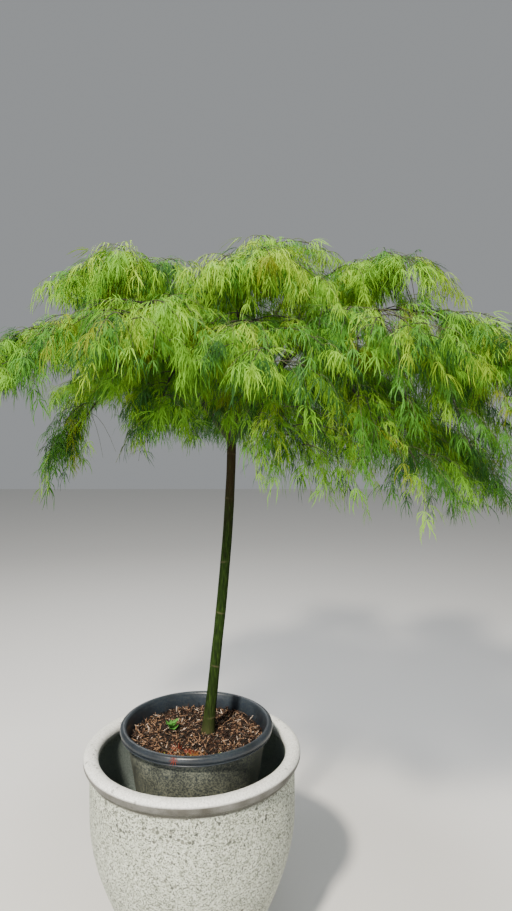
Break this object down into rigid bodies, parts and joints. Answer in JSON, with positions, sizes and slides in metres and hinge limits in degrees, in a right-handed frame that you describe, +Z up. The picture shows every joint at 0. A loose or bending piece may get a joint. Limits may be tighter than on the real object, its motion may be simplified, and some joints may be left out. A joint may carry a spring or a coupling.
{
  "type": "potted japanese maple",
  "caption": "Weeping cut-leaf japanese maple grafted on a tall bare stem, in a nursery pot set into a round speckled planter.",
  "frame": {"origin": "middle of the planter's flat underside, on the floor", "axes": "+Z up; +X to the right and +Y away from a viewer who faces the front of the plant"},
  "size_m": [1.538, 1.3618, 1.9986],
  "materials": {
    "planter": "satin, cream with dark speckles",
    "pot_plastic": "satin black",
    "mulch": "rough bark chips",
    "trunk_bark": "matt green bark",
    "bough_bark": "matt dark bark",
    "foliage": "satin yellow-green leaves"
  },
  "bodies": {
    "root": {"bough_back": "bough_bark", "bough_back_left": "bough_bark", "bough_back_right": "bough_bark", "bough_front": "bough_bark", "bough_front_left": "bough_bark", "bough_front_right": "bough_bark", "bough_left": "bough_bark", "bough_left_front": "bough_bark", "bough_low_back": "bough_bark", "bough_low_back_left": "bough_bark", "bough_low_back_right": "bough_bark", "bough_low_front_left": "bough_bark", "bough_low_front_right": "bough_bark", "bough_low_left": "bough_bark", "bough_low_right": "bough_bark", "bough_low_right_back": "bough_bark", "bough_right": "bough_bark", "bough_right_back": "bough_bark", "bough_top": "bough_bark", "bough_top_back": "bough_bark", "bough_top_back_right": "bough_bark", "bough_top_front": "bough_bark", "bough_top_front_left": "bough_bark", "bough_top_left": "bough_bark", "bough_top_right": "bough_bark", "mass_back": "foliage", "mass_back_left": "foliage", "mass_back_right": "foliage", "mass_front": "foliage", "mass_front_left": "foliage", "mass_front_right": "foliage", "mass_left": "foliage", "mass_left_front": "foliage", "mass_low_back": "foliage", "mass_low_back_left": "foliage", "mass_low_back_right": "foliage", "mass_low_front_left": "foliage", "mass_low_front_right": "foliage", "mass_low_left": "foliage", "mass_low_right": "foliage", "mass_low_right_back": "foliage", "mass_right": "foliage", "mass_right_back": "foliage", "mass_top": "foliage", "mass_top_back": "foliage", "mass_top_back_right": "foliage", "mass_top_front": "foliage", "mass_top_front_left": "foliage", "mass_top_left": "foliage", "mass_top_right": "foliage", "nursery_pot": "pot_plastic", "planter_floor": "planter", "planter_lower": "planter", "planter_upper": "planter", "potting_mix": "mulch", "trunk": "trunk_bark", "upturned_pot_end": "pot_plastic", "upturned_pot_wall": "pot_plastic"}
  },
  "joints": []
}
